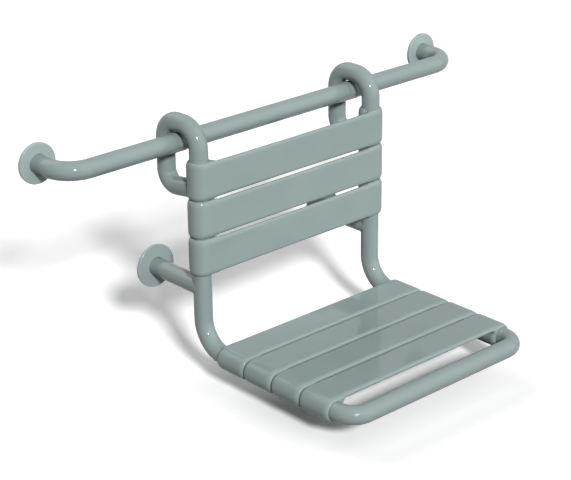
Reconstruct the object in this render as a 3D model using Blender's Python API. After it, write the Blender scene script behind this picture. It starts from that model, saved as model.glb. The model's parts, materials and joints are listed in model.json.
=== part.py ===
"""Hang-on shower seat: a bent wall rail, and a tube seat with moulded slats that hangs on it by two eyes.

Units are metres, +Z is up and the room is at -Y. The origin lies on the wall, level with the rail's axis
and midway between its two fixings. The seat's pieces are drawn in a frame that stands on the rail's axis
at the seat's middle, because the seat slides along that axis and swings about it.
"""

from math import acos, asin, atan2, cos, pi, radians, sin, tan

import bmesh
import bpy
from mathutils import Matrix, Vector

# Tube that the rail and the seat frame are made of
TUBE_RADIUS = 0.0165
TUBE_WALL = 0.0025
TUBE_BORE = TUBE_RADIUS - TUBE_WALL
TUBE_SIDES = 16
STEPS_PER_BEND = 5
SADDLE_REACH = 1.4

# Gap kept between pieces that touch or are welded
GAP = 0.0003

# Wall rail
RAIL_SPAN = 0.912
WALL_TO_RAIL = 0.082
RAIL_BEND = 0.048

# Wall fixing under each rose
PLATE_RADIUS = 0.029
PLATE_THICKNESS = 0.0045
PLATE_STUB_LENGTH = 0.018
STUB_CLEARANCE = 0.0005
WALL_SCREW_COUNT = 3
WALL_SCREW_RADIUS = 0.0024
WALL_SCREW_HEAD_RADIUS = 0.0042
WALL_SCREW_HEAD_HEIGHT = 0.0024
WALL_SCREW_EDGE = 0.0016

# Conical faces of the rail roses and of the larger strut discs
ROSE_RADIUS = 0.036
ROSE_HEIGHT = 0.0068
DISC_RADIUS = 0.040
DISC_HEIGHT = 0.0078
ROSE_RIM_HEIGHT = 0.004
ROSE_RIM_EDGE = 0.0015
ROSE_BORE_EDGE = 0.0008
ROSE_SIDES = 24

# Split liner between the rail and each eye
GLIDE_WALL = 0.0012
GLIDE_LENGTH = 0.030
GLIDE_OPENING_DEG = 70.0
GLIDE_OPENING_TURN_DEG = -135.0
GLIDE_STEPS = 13
HOOK_CLEARANCE = 0.0008

# Seat frame
SEAT_OFFSET = -0.017
TUBE_SPACING = 0.407
HOOK_REACH = 0.053
HOOK_FRONT_BEND = 0.038
HOOK_RETURN_BEND = 0.026
HOOK_CORNER_DROP = 0.0855
HOOK_RETURN_DROP = 0.073
SEAT_DROP = 0.367
SEAT_BEND = 0.0555
SEAT_DEPTH = 0.372
FRONT_BEND = 0.034
STRUT_DROP = 0.254

# Moulded slats, whose sleeves slide over the tubes
BACK_SLAT_COUNT = 3
SEAT_SLAT_COUNT = 4
SLAT_PITCH = 0.0693
SLEEVE_GAP = 0.0022
SLEEVE_WALL = 0.0052
SLEEVE_SETBACK = 0.0023
SLAT_PANEL_THICKNESS = 0.009
SLAT_EDGE_ROUND = 0.0028
SLAT_STEP_START = 0.0025
SLAT_STEP_LENGTH = 0.004
SLAT_TOP_DROP = 0.0206
SLEEVE_TO_BEND = 0.0005
SLEEVE_TO_FRONT_BEND = 0.005
ROOT_STEPS = 2
SLEEVE_STEPS = 11
RETURN_CLEARANCE = 0.0006

# Tube joints hidden inside the first back sleeve and the front seat sleeve
JOINT_INSET = 0.012
SPIGOT_LENGTH = 0.030
SPIGOT_WALL = 0.002
SPIGOT_SIDES = 12

# Screws through the sleeves
SLAT_SCREW_RADIUS = 0.0020
SLAT_SCREW_HEAD_RADIUS = 0.0036
SLAT_SCREW_HEAD_HEIGHT = 0.0022
SLAT_SCREW_RECESS = 0.0004
SLAT_SCREW_REACH = 0.004
SCREW_SIDES = 6

# Foot of each strut
PAD_THICKNESS = 0.003
PAD_PROUD = 0.001
PAD_RADIUS = 0.034
STRUT_SOCKET = 0.0055
STRUT_STUB_LENGTH = 0.012

# Sizes that follow from the ones above
HALF_SPACING = TUBE_SPACING / 2
WALL_SCREW_CIRCLE = PLATE_RADIUS - WALL_SCREW_EDGE - WALL_SCREW_HEAD_RADIUS
HOOK_SEAT_RADIUS = TUBE_RADIUS + GAP + GLIDE_WALL + HOOK_CLEARANCE
EYE_RADIUS = HOOK_SEAT_RADIUS + TUBE_RADIUS
BACK_Y = -HOOK_REACH
HOOK_RETURN_SLOPE = atan2(HOOK_CORNER_DROP - HOOK_RETURN_DROP, EYE_RADIUS - BACK_Y)
FRONT_Y = BACK_Y - SEAT_DEPTH
SLEEVE_RADIUS = TUBE_RADIUS + GAP + SLEEVE_WALL
HOOK_JOINT_Z = -SLAT_TOP_DROP - JOINT_INSET
SEAT_SLATS_START_Y = BACK_Y - SEAT_BEND - SLEEVE_TO_BEND
SEAT_SLATS_END_Y = FRONT_Y + FRONT_BEND + SLEEVE_TO_FRONT_BEND
SEAT_SLAT_PITCH = (SEAT_SLATS_START_Y - SEAT_SLATS_END_Y + SLEEVE_GAP) / SEAT_SLAT_COUNT
FRONT_JOINT_Y = SEAT_SLATS_END_Y + JOINT_INSET
SCREW_HEAD_TOP = SLEEVE_RADIUS - SLAT_SCREW_RECESS
SCREW_HEAD_SEAT = SCREW_HEAD_TOP - SLAT_SCREW_HEAD_HEIGHT
SIDES = (("left", -1), ("right", 1))


def circumscribed(radius, sides):
    """Corner radius of a polygon whose flats lie at the given radius."""
    return radius / cos(pi / sides)


def make_material(name, colour, roughness, metallic):
    """Principled material in the colour of one sort of piece."""
    material = bpy.data.materials.new(name)
    material.use_nodes = True
    shader = material.node_tree.nodes["Principled BSDF"]
    shader.inputs["Base Color"].default_value = (*colour, 1.0)
    shader.inputs["Roughness"].default_value = roughness
    shader.inputs["Metallic"].default_value = metallic
    return material


def make_empty(name, location, parent=None):
    """Empty that carries the pieces of one moving body."""
    empty = bpy.data.objects.new(name, None)
    empty.location = location
    empty.parent = parent
    bpy.context.scene.collection.objects.link(empty)
    return empty


def add_piece(name, shape, material, parent, place=None):
    """Turns a bmesh into a named object with its own copy of the material, shaded smooth."""
    bmesh.ops.recalc_face_normals(shape, faces=shape.faces)
    mesh = bpy.data.meshes.new(name)
    shape.to_mesh(mesh)
    shape.free()
    mesh.shade_smooth()
    mesh.set_sharp_from_angle(angle=radians(35))
    own_material = material.copy()
    own_material.name = name
    mesh.materials.append(own_material)
    piece = bpy.data.objects.new(name, mesh)
    piece.parent = parent
    piece.matrix_local = place or Matrix()
    bpy.context.scene.collection.objects.link(piece)
    return piece


def add_cutter(name, shape, parent, place=None):
    """Hidden helper that a Boolean takes away from a piece."""
    bmesh.ops.recalc_face_normals(shape, faces=shape.faces)
    mesh = bpy.data.meshes.new(name)
    shape.to_mesh(mesh)
    shape.free()
    cutter = bpy.data.objects.new(name, mesh)
    cutter.parent = parent
    cutter.matrix_local = place or Matrix()
    cutter.hide_render = True
    cutter.display_type = "WIRE"
    bpy.context.scene.collection.objects.link(cutter)
    return cutter


def cut(piece, cutter):
    """Takes the cutter away from the piece."""
    modifier = piece.modifiers.new(cutter.name, "BOOLEAN")
    modifier.operation = "DIFFERENCE"
    modifier.solver = "EXACT"
    modifier.object = cutter


def bent_path(corners, bends):
    """Stations (place, direction) along straight runs whose inner corners are rounded to the bend radii."""
    corners = [Vector(corner) for corner in corners]
    stations = [(corners[0], (corners[1] - corners[0]).normalized())]
    for index, bend in enumerate(bends, start=1):
        before = (corners[index] - corners[index - 1]).normalized()
        after = (corners[index + 1] - corners[index]).normalized()
        turn = acos(before.dot(after))
        start = corners[index] - before * bend * tan(turn / 2)
        inward = (after - before * cos(turn)).normalized()
        middle = start + inward * bend
        for step in range(STEPS_PER_BEND + 1):
            angle = turn * step / STEPS_PER_BEND
            place = middle - inward * bend * cos(angle) + before * bend * sin(angle)
            direction = before * cos(angle) + inward * sin(angle)
            if (place - stations[-1][0]).length > GAP:  # a bend may start where the last one ended
                stations.append((place, direction))
    stations.append((corners[-1], (corners[-1] - corners[-2]).normalized()))
    return stations


def tube_shape(stations, across, outer=TUBE_RADIUS, bore=TUBE_BORE, sides=TUBE_SIDES):
    """Hollow tube, open at both ends, swept along the stations of a path that lies square to across."""
    shape = bmesh.new()
    across = Vector(across)
    skins = []
    for radius in (outer, bore):
        rings = []
        for place, direction in stations:
            beside = direction.cross(across)
            ring = []
            for side in range(sides):
                angle = 2 * pi * side / sides
                ring.append(shape.verts.new(place + radius * (across * cos(angle) + beside * sin(angle))))
            rings.append(ring)
        skins.append(rings)
    for rings in skins:
        for first, second in zip(rings, rings[1:]):
            bridge(shape, first, second)
    for end in (0, -1):
        bridge(shape, skins[0][end], skins[1][end])
    return shape


def bridge(shape, first, second):
    """Faces between two closed loops with as many points."""
    for index, corner in enumerate(first):
        previous = index - 1
        shape.faces.new((first[previous], corner, second[index], second[previous]))


def turned_shape(profile, sides, closed=False):
    """Solid turned about Z. The profile of (radius, height) ends on the axis, unless it is closed."""
    shape = bmesh.new()
    rings = []
    for radius, height in profile:
        if radius == 0:
            rings.append([shape.verts.new((0, 0, height))])
            continue
        ring = []
        for side in range(sides):
            angle = 2 * pi * side / sides
            ring.append(shape.verts.new((radius * cos(angle), radius * sin(angle), height)))
        rings.append(ring)
    pairs = list(zip(rings, rings[1:]))
    if closed:
        pairs.append((rings[-1], rings[0]))
    for first, second in pairs:
        if len(first) == len(second):
            bridge(shape, first, second)
            continue
        tip, ring = (first[0], second) if len(first) == 1 else (second[0], first)
        for index, corner in enumerate(ring):
            shape.faces.new((tip, ring[index - 1], corner))
    return shape


def joined(shapes_and_places):
    """One bmesh with each shape moved to its place, as separate bodies."""
    whole = bmesh.new()
    for shape, place in shapes_and_places:
        shape.transform(place)
        mesh = bpy.data.meshes.new("joined")
        shape.to_mesh(mesh)
        shape.free()
        whole.from_mesh(mesh)
        bpy.data.meshes.remove(mesh)
    return whole


def facing_room(x, y, z):
    """Place of a piece turned about Z, with its Z towards the room and its foot at the point."""
    return Matrix.Translation((x, y, z)) @ Matrix.Rotation(pi / 2, 4, "X")


def saddle_shape():
    """Upright round cutter that copes a tube's end to fit against a side tube."""
    radius = circumscribed(TUBE_RADIUS + GAP, TUBE_SIDES)
    reach = SADDLE_REACH * TUBE_RADIUS
    return turned_shape([(0, reach), (radius, reach), (radius, -reach), (0, -reach)], TUBE_SIDES)


def rose_face(bore, radius, height):
    """Outline of a conical face from its bore to its rim, as (radius, height above the wall)."""
    return [
        (bore, height - ROSE_BORE_EDGE),
        (bore + ROSE_BORE_EDGE, height),
        (radius - ROSE_RIM_EDGE, ROSE_RIM_HEIGHT + ROSE_RIM_EDGE),
        (radius, ROSE_RIM_HEIGHT),
    ]


def rail_rose_shape():
    """Cover rose: hollow behind for the wall plate, with a bore that slides on the tube."""
    bore = circumscribed(TUBE_RADIUS + GAP, ROSE_SIDES)
    hollow = circumscribed(PLATE_RADIUS + GAP, ROSE_SIDES)
    ceiling = PLATE_THICKNESS + GAP
    profile = rose_face(bore, ROSE_RADIUS, ROSE_HEIGHT)
    profile += [(ROSE_RADIUS, 0), (hollow, 0), (hollow, ceiling), (bore, ceiling)]
    return turned_shape(profile, ROSE_SIDES, closed=True)


def strut_disc_shape():
    """Disc on the end of a strut: a conical face, a socket and stub for the tube, and a recess for the pad."""
    socket = circumscribed(TUBE_RADIUS + GAP, ROSE_SIDES)
    stub = TUBE_BORE - STUB_CLEARANCE
    stub_end = STRUT_SOCKET + STRUT_STUB_LENGTH
    recess = circumscribed(PAD_RADIUS + GAP, ROSE_SIDES)
    recess_floor = PAD_THICKNESS + GAP
    profile = [(0, stub_end), (stub, stub_end), (stub, STRUT_SOCKET), (socket, STRUT_SOCKET)]
    profile += rose_face(socket, DISC_RADIUS, DISC_HEIGHT)
    profile += [(DISC_RADIUS, PAD_PROUD), (recess, PAD_PROUD), (recess, recess_floor), (0, recess_floor)]
    return turned_shape(profile, ROSE_SIDES)


def wall_plate_shape():
    """Round plate with a stub that fills the end of the rail tube."""
    stub = TUBE_BORE - STUB_CLEARANCE
    stub_end = PLATE_THICKNESS + PLATE_STUB_LENGTH
    profile = [(0, stub_end), (stub, stub_end), (stub, PLATE_THICKNESS)]
    profile += [(PLATE_RADIUS, PLATE_THICKNESS), (PLATE_RADIUS, 0), (0, 0)]
    return turned_shape(profile, ROSE_SIDES)


def countersunk_profile(spread, bottom, top):
    """Outline of a countersunk screw, or of its hole, widened by spread."""
    shank_top = PLATE_THICKNESS - WALL_SCREW_HEAD_HEIGHT
    shank = WALL_SCREW_RADIUS + spread
    head = WALL_SCREW_HEAD_RADIUS + spread
    head_outline = [(0, top), (head, top), (head, PLATE_THICKNESS - GAP)]
    return head_outline + [(shank, shank_top), (shank, bottom), (0, bottom)]


def wall_screw_places():
    """Places of the screws round a wall plate."""
    places = []
    for index in range(WALL_SCREW_COUNT):
        angle = pi / 2 + 2 * pi * index / WALL_SCREW_COUNT
        places.append(Matrix.Translation((WALL_SCREW_CIRCLE * cos(angle), WALL_SCREW_CIRCLE * sin(angle), 0)))
    return places


def glide_shape():
    """Split liner, drawn along X, whose opening faces down and to the front."""
    shape = bmesh.new()
    inner = circumscribed(TUBE_RADIUS + GAP, TUBE_SIDES)
    outer = TUBE_RADIUS + GAP + GLIDE_WALL
    opening = radians(GLIDE_OPENING_DEG)
    first_angle = radians(GLIDE_OPENING_TURN_DEG) + opening / 2
    sections = []
    for step in range(GLIDE_STEPS + 1):
        angle = first_angle + (2 * pi - opening) * step / GLIDE_STEPS
        section = []
        for radius, end in ((inner, -1), (outer, -1), (outer, 1), (inner, 1)):
            place = (end * GLIDE_LENGTH / 2, radius * cos(angle), radius * sin(angle))
            section.append(shape.verts.new(place))
        sections.append(section)
    for first, second in zip(sections, sections[1:]):
        bridge(shape, first, second)
    shape.faces.new(sections[0])
    shape.faces.new(sections[-1])
    return shape


def sleeve_angles():
    """Angles round a sleeve: first the steps where the panel grows out of it, then the free outside."""
    panel_back = -asin((SLEEVE_RADIUS - SLAT_PANEL_THICKNESS) / SLEEVE_RADIUS)
    root = [-pi / 2 + (panel_back + pi / 2) * step / ROOT_STEPS for step in range(ROOT_STEPS)]
    free = 2 * pi - (panel_back + pi / 2)
    return root + [panel_back + free * step / SLEEVE_STEPS for step in range(SLEEVE_STEPS)]


def slat_outline(shape, height, panel_height):
    """Flat net of one end of a slat: sleeve rings, panel columns and the faces between them."""
    angles = sleeve_angles()
    widest_step = max(second - first for first, second in zip(angles, angles[1:]))
    bore_radius = (TUBE_RADIUS + GAP) / cos(widest_step / 2)
    step_start = SLEEVE_RADIUS * cos(angles[ROOT_STEPS]) + SLAT_STEP_START
    distances = [(step_start, height), (step_start + SLAT_STEP_LENGTH, panel_height)]
    rings = {}
    columns = []
    for side in (-1, 1):
        for radius in (SLEEVE_RADIUS, bore_radius):
            ring = []
            for angle in angles:
                place = (side * (HALF_SPACING - radius * cos(angle)), radius * sin(angle), height)
                ring.append(shape.verts.new(place))
            rings[side, radius] = ring
        side_columns = [rings[side, SLEEVE_RADIUS][: ROOT_STEPS + 1]]
        for distance, column_height in distances:
            column = []
            for step in range(ROOT_STEPS + 1):
                depth = -SLEEVE_RADIUS + SLAT_PANEL_THICKNESS * step / ROOT_STEPS
                column.append(shape.verts.new((side * (HALF_SPACING - distance), depth, column_height)))
            side_columns.append(column)
        columns += side_columns if side < 0 else reversed(side_columns)
    return rings, columns, bore_radius


def slat_shape(sleeve_length):
    """Moulded slat: a flat panel that wraps round a tube at each end, with rounded rims."""
    shape = bmesh.new()
    end = sleeve_length / 2
    nets = [slat_outline(shape, sign * end, sign * (end - SLEEVE_SETBACK)) for sign in (-1, 1)]
    bore_radius = nets[0][2]
    caps = []
    for rings, columns, _ in nets:
        for side in (-1, 1):
            outer, bore = rings[side, SLEEVE_RADIUS], rings[side, bore_radius]
            for index, corner in enumerate(outer):
                caps.append(shape.faces.new((outer[index - 1], corner, bore[index], bore[index - 1])))
        for first, second in zip(columns, columns[1:]):
            for row in range(ROOT_STEPS):
                caps.append(shape.faces.new((first[row], second[row], second[row + 1], first[row + 1])))
    (low_rings, low_columns, _), (high_rings, high_columns, _) = nets
    for side in (-1, 1):
        bridge(shape, low_rings[side, bore_radius], high_rings[side, bore_radius])
        low, high = low_rings[side, SLEEVE_RADIUS], high_rings[side, SLEEVE_RADIUS]
        for index in range(ROOT_STEPS + 1, len(low) + 1):
            here = index % len(low)
            shape.faces.new((low[index - 1], low[here], high[here], high[index - 1]))
    for row in (0, ROOT_STEPS):
        for index in range(len(low_columns) - 1):
            low_pair = (low_columns[index][row], low_columns[index + 1][row])
            high_pair = (high_columns[index + 1][row], high_columns[index][row])
            shape.faces.new(low_pair + high_pair)
    bores = {corner for net in nets for side in (-1, 1) for corner in net[0][side, bore_radius]}
    cap_faces = set(caps)
    rims = []
    for edge in shape.edges:
        at_rim = len([face for face in edge.link_faces if face in cap_faces]) == 1
        if at_rim and not bores.issuperset(edge.verts):
            rims.append(edge)
    bmesh.ops.recalc_face_normals(shape, faces=shape.faces)
    bmesh.ops.bevel(
        shape,
        geom=rims,
        offset=SLAT_EDGE_ROUND,
        offset_type="OFFSET",
        segments=2,
        profile=0.5,
        affect="EDGES",
        clamp_overlap=False,
    )
    return shape


def slat_screw_shape(spread, reach, top):
    """Pan-head screw along Z from a tube's axis outwards, or the hole for it, widened by spread."""
    seat = SCREW_HEAD_SEAT - (GAP if spread else 0)
    shank = SLAT_SCREW_RADIUS + spread
    head = SLAT_SCREW_HEAD_RADIUS + spread
    profile = [(0, top), (head, top), (head, seat), (shank, seat), (shank, reach), (0, reach)]
    return turned_shape(profile, SCREW_SIDES)


def screw_places(slat_place):
    """Places of a slat's two screws, on the far side of each sleeve from the panel."""
    outward = Matrix.Rotation(-pi / 2, 4, "X")
    return [slat_place @ Matrix.Translation((side * HALF_SPACING, 0, 0)) @ outward for _, side in SIDES]


def slat_places():
    """Place and sleeve length of each slat, upright on the back and lying on the seat sides."""
    places = {}
    back_length = SLAT_PITCH - SLEEVE_GAP
    for index in range(BACK_SLAT_COUNT):
        middle = -SLAT_TOP_DROP - index * SLAT_PITCH - back_length / 2
        places[f"back_slat_{index + 1}"] = (Matrix.Translation((0, BACK_Y, middle)), back_length)
    lying = Matrix.Rotation(-pi / 2, 4, "X")
    seat_length = SEAT_SLAT_PITCH - SLEEVE_GAP
    for index in range(SEAT_SLAT_COUNT):
        middle = SEAT_SLATS_START_Y - index * SEAT_SLAT_PITCH - seat_length / 2
        place = Matrix.Translation((0, middle, -SEAT_DROP)) @ lying
        places[f"seat_slat_{index + 1}"] = (place, seat_length)
    return places


def back_tube_space(drop, slope, radius):
    """Room for the pair of tubes that join the uprights from behind, at a drop below the rail and a slope."""
    length = WALL_TO_RAIL - BACK_Y
    spaces = []
    for _, side in SIDES:
        profile = [(0, length), (radius, length), (radius, 0), (0, 0)]
        place = Matrix.Translation((side * HALF_SPACING, BACK_Y, -drop))
        spaces.append((turned_shape(profile, TUBE_SIDES), place @ Matrix.Rotation(-pi / 2 - slope, 4, "X")))
    return joined(spaces)


def build_rail(parent, coated, steel):
    """Bent rail tube with its wall plates, screws and cover roses."""
    half = RAIL_SPAN / 2
    wall_end = -(PLATE_THICKNESS + GAP)
    corners = [(-half, wall_end, 0), (-half, -WALL_TO_RAIL, 0), (half, -WALL_TO_RAIL, 0), (half, wall_end, 0)]
    stations = bent_path(corners, (RAIL_BEND, RAIL_BEND))
    add_piece("rail_tube", tube_shape(stations, (0, 0, 1)), coated, parent)
    for name, side in SIDES:
        place = facing_room(side * half, 0, 0)
        plate = add_piece(f"{name}_wall_plate", wall_plate_shape(), steel, parent, place)
        holes = []
        for index, spot in enumerate(wall_screw_places(), start=1):
            hole = countersunk_profile(GAP, -PLATE_THICKNESS, 2 * PLATE_THICKNESS)
            holes.append((turned_shape(hole, SCREW_SIDES), spot))
            screw = turned_shape(countersunk_profile(0, 0, PLATE_THICKNESS - GAP / 2), SCREW_SIDES)
            add_piece(f"{name}_wall_screw_{index}", screw, steel, parent, place @ spot)
        cut(plate, add_cutter(f"{name}_wall_screw_holes", joined(holes), parent, place))
        add_piece(f"{name}_rail_rose", rail_rose_shape(), coated, parent, place)


def build_glides(parent, liner):
    """Liners that ride on the rail under the two eyes."""
    for name, side in SIDES:
        place = Matrix.Translation((side * HALF_SPACING, 0, 0))
        add_piece(f"{name}_hook_glide", glide_shape(), liner, parent, place)


def build_frame(parent, coated, steel):
    """Eyes, side tubes, front tube and the connectors inside their joints. Returns the two side tubes."""
    side_tubes = {}
    for name, side in SIDES:
        x = side * HALF_SPACING
        eye = [(x, BACK_Y, HOOK_JOINT_Z + GAP), (x, BACK_Y, EYE_RADIUS), (x, EYE_RADIUS, EYE_RADIUS)]
        eye += [(x, EYE_RADIUS, -HOOK_CORNER_DROP), (x, BACK_Y, -HOOK_RETURN_DROP)]
        stations = bent_path(eye, (HOOK_FRONT_BEND, EYE_RADIUS, HOOK_RETURN_BEND))
        hook = add_piece(f"{name}_hook", tube_shape(stations, (1, 0, 0)), coated, parent)
        saddle_place = Matrix.Translation((x, BACK_Y, -HOOK_RETURN_DROP))
        cut(hook, add_cutter(f"{name}_hook_saddle", saddle_shape(), parent, saddle_place))

        run = [(x, BACK_Y, HOOK_JOINT_Z), (x, BACK_Y, -SEAT_DROP), (x, FRONT_JOINT_Y + GAP, -SEAT_DROP)]
        side_tube = tube_shape(bent_path(run, (SEAT_BEND,)), (1, 0, 0))
        side_tubes[side] = add_piece(f"{name}_side_tube", side_tube, coated, parent)

        reach = SPIGOT_LENGTH / 2
        upright = [(x, BACK_Y, HOOK_JOINT_Z + reach), (x, BACK_Y, HOOK_JOINT_Z - reach)]
        level = [(x, FRONT_JOINT_Y + reach, -SEAT_DROP), (x, FRONT_JOINT_Y - reach, -SEAT_DROP)]
        spigot_radius = TUBE_BORE - STUB_CLEARANCE
        for joint, ends in (("hook", upright), ("front", level)):
            spigot_bore = spigot_radius - SPIGOT_WALL
            spigot = tube_shape(bent_path(ends, ()), (1, 0, 0), spigot_radius, spigot_bore, SPIGOT_SIDES)
            add_piece(f"{name}_{joint}_spigot", spigot, steel, parent)

    front = [(-HALF_SPACING, FRONT_JOINT_Y, -SEAT_DROP), (-HALF_SPACING, FRONT_Y, -SEAT_DROP)]
    front += [(HALF_SPACING, FRONT_Y, -SEAT_DROP), (HALF_SPACING, FRONT_JOINT_Y, -SEAT_DROP)]
    stations = bent_path(front, (FRONT_BEND, FRONT_BEND))
    add_piece("front_tube", tube_shape(stations, (0, 0, 1)), coated, parent)
    return side_tubes


def build_struts(parent, coated, rubber):
    """Struts from the side tubes to the wall, with their discs and pads."""
    foot_y = WALL_TO_RAIL - STRUT_SOCKET - GAP
    for name, side in SIDES:
        x = side * HALF_SPACING
        ends = [(x, BACK_Y, -STRUT_DROP), (x, foot_y, -STRUT_DROP)]
        strut = add_piece(f"{name}_strut", tube_shape(bent_path(ends, ()), (1, 0, 0)), coated, parent)
        saddle_place = Matrix.Translation((x, BACK_Y, -STRUT_DROP))
        cut(strut, add_cutter(f"{name}_strut_saddle", saddle_shape(), parent, saddle_place))
        place = facing_room(x, WALL_TO_RAIL, -STRUT_DROP)
        add_piece(f"{name}_strut_disc", strut_disc_shape(), coated, parent, place)
        pad_outline = [(0, PAD_THICKNESS), (PAD_RADIUS, PAD_THICKNESS), (PAD_RADIUS, 0), (0, 0)]
        add_piece(f"{name}_strut_pad", turned_shape(pad_outline, ROSE_SIDES), rubber, parent, place)


def build_slats(parent, slat_material, steel, side_tubes):
    """Slats on the back and the seat, their screws, and the holes for these in sleeves and tubes."""
    notch_radius = circumscribed(TUBE_RADIUS + RETURN_CLEARANCE, TUBE_SIDES)
    notches = {}
    back_tubes = (("hook_return_space", HOOK_RETURN_DROP, HOOK_RETURN_SLOPE), ("strut_space", STRUT_DROP, 0))
    for name, drop, slope in back_tubes:
        notches[drop] = add_cutter(name, back_tube_space(drop, slope, notch_radius), parent)

    tube_reach = TUBE_BORE - SLAT_SCREW_REACH
    holes = {-1: [], 1: []}
    for name, (place, sleeve_length) in slat_places().items():
        slat = add_piece(name, slat_shape(sleeve_length), slat_material, parent, place)
        pockets = []
        for spot, (side_name, side) in zip(screw_places(place), SIDES):
            screw = slat_screw_shape(0, tube_reach, SCREW_HEAD_TOP)
            add_piece(f"{name}_{side_name}_screw", screw, steel, parent, spot)
            pockets.append((slat_screw_shape(GAP, TUBE_BORE, SLEEVE_RADIUS + SLEEVE_WALL), spot))
            holes[side].append((slat_screw_shape(GAP, tube_reach, SCREW_HEAD_TOP), spot))
        cut(slat, add_cutter(f"{name}_screw_pockets", joined(pockets), parent))
        for drop, notch in notches.items():
            meets_tube = abs(place.translation.z + drop) < notch_radius + sleeve_length / 2
            if name.startswith("back") and meets_tube:
                cut(slat, notch)
    for name, side in SIDES:
        cut(side_tubes[side], add_cutter(f"{name}_slat_screw_holes", joined(holes[side]), parent))


def main():
    """Builds the whole assembly in an empty scene."""
    for old in list(bpy.data.objects):
        bpy.data.objects.remove(old)
    coated = make_material("coated_tube", (0.27, 0.34, 0.33), 0.3, 0.0)
    moulded = make_material("moulded_slat", (0.28, 0.35, 0.34), 0.35, 0.0)
    steel = make_material("zinc_steel", (0.6, 0.6, 0.6), 0.35, 1.0)
    liner = make_material("grey_liner", (0.2, 0.25, 0.24), 0.5, 0.0)
    rubber = make_material("grey_rubber", (0.05, 0.055, 0.055), 0.8, 0.0)

    wall_datum = make_empty("wall_datum", (0, 0, 0))
    glide_carriage = make_empty("glide_carriage", (SEAT_OFFSET, -WALL_TO_RAIL, 0), wall_datum)
    swing_axis = make_empty("swing_axis", (0, 0, 0), glide_carriage)

    build_rail(wall_datum, coated, steel)
    build_glides(glide_carriage, liner)
    side_tubes = build_frame(swing_axis, coated, steel)
    build_struts(swing_axis, coated, rubber)
    build_slats(swing_axis, moulded, steel, side_tubes)
    bpy.context.view_layer.update()


main()
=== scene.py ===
"""Looks of the hang-on shower seat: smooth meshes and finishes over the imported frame, a pale stage and a camera.

Everything is in metres in the frame's own axes: +Z is up, the wall is the plane y = 0 and the room is at -Y.
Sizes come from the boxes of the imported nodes; only roundings and bends that a box can't show are written here.
"""

from __future__ import annotations

import json
import logging
from dataclasses import dataclass
from enum import Enum
from math import atan2, cos, hypot, pi, radians, sin, sqrt, tan
from typing import Any, Mapping, Sequence

import bmesh
import bpy
from mathutils import Matrix, Vector

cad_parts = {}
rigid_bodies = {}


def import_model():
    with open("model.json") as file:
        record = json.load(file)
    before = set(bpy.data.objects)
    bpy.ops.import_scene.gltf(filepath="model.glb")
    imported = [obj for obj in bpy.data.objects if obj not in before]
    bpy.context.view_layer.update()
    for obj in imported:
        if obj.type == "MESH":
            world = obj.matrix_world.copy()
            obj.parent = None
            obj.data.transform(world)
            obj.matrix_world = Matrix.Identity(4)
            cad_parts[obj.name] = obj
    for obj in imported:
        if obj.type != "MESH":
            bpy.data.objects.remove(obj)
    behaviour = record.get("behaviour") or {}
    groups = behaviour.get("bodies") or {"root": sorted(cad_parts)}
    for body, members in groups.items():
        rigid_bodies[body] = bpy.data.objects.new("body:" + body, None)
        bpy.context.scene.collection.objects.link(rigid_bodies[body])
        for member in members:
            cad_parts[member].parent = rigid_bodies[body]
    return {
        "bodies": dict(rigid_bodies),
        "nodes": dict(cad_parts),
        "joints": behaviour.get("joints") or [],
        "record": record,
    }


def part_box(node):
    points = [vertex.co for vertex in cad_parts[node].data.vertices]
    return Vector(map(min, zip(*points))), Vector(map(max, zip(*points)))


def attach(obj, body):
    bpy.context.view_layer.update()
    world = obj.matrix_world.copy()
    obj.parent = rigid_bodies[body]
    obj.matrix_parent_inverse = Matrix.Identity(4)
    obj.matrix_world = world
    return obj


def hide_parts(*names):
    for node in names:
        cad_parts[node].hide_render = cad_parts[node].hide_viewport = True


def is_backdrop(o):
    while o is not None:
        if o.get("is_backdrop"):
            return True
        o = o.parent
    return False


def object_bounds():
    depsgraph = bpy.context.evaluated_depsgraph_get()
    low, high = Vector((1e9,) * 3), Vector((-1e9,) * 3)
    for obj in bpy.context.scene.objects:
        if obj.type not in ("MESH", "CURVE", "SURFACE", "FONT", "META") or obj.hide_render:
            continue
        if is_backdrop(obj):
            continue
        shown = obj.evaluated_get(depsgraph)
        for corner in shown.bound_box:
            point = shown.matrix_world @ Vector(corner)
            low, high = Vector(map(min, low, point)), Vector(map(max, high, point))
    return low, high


Pair = tuple[float, float]
Point = tuple[float, float, float]
Corner = tuple[float, float, float, float]
Colour = tuple[float, float, float]
Material = bpy.types.Material
Mesh = bpy.types.Mesh
Socket = bpy.types.NodeSocket
Solid = bmesh.types.BMesh
Vert = bmesh.types.BMVert

LOG = logging.getLogger("shower_seat")
ORIGIN = (0.0, 0.0, 0.0)
PHOTO_WIDTH = 571
SENSOR_WIDTH = 36.0
LAMP_DISTANCE = 2.0
BUMP_STRENGTH = 0.2
BUMP_DISTANCE = 0.001

# Meshing: when an edge is sharp, which points are one, and the faces round a turned shape.
SHARP_ANGLE = radians(38)
MERGE_DISTANCE = 1e-6
PATH_MERGE_DISTANCE = 1e-5
ROUND_STEPS = 96
CUTTER_STEPS = 64
SCREW_STEPS = 32
EASE_SUPPORT = 0.12

# Shared sizes: the gap between pieces that fit together, the height of a strut's foot, and the driver's recess in a
# screw, as shares of the head's radius.
FIT_GAP = 0.0003
FOOT_HEIGHT = 0.0078
RECESS_WIDTH = 0.62
RECESS_ARM = 0.16
RECESS_DEPTH = 0.42
RECESS_TAPER = (0.55, 1.25)


class Side(Enum):
    """The two ends of the rail and of the seat, seen from the room."""

    LEFT = -1
    RIGHT = 1

    def named(self, piece: str) -> str:
        """Name of this side's piece."""
        return f"{self.name.lower()}_{piece}"


class Body(Enum):
    """Bodies of the frame that pieces ride on."""

    RAIL = "rail"
    LEFT_ROSE = "left_rose"
    RIGHT_ROSE = "right_rose"
    GLIDES = "glides"
    SEAT = "seat"


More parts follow.
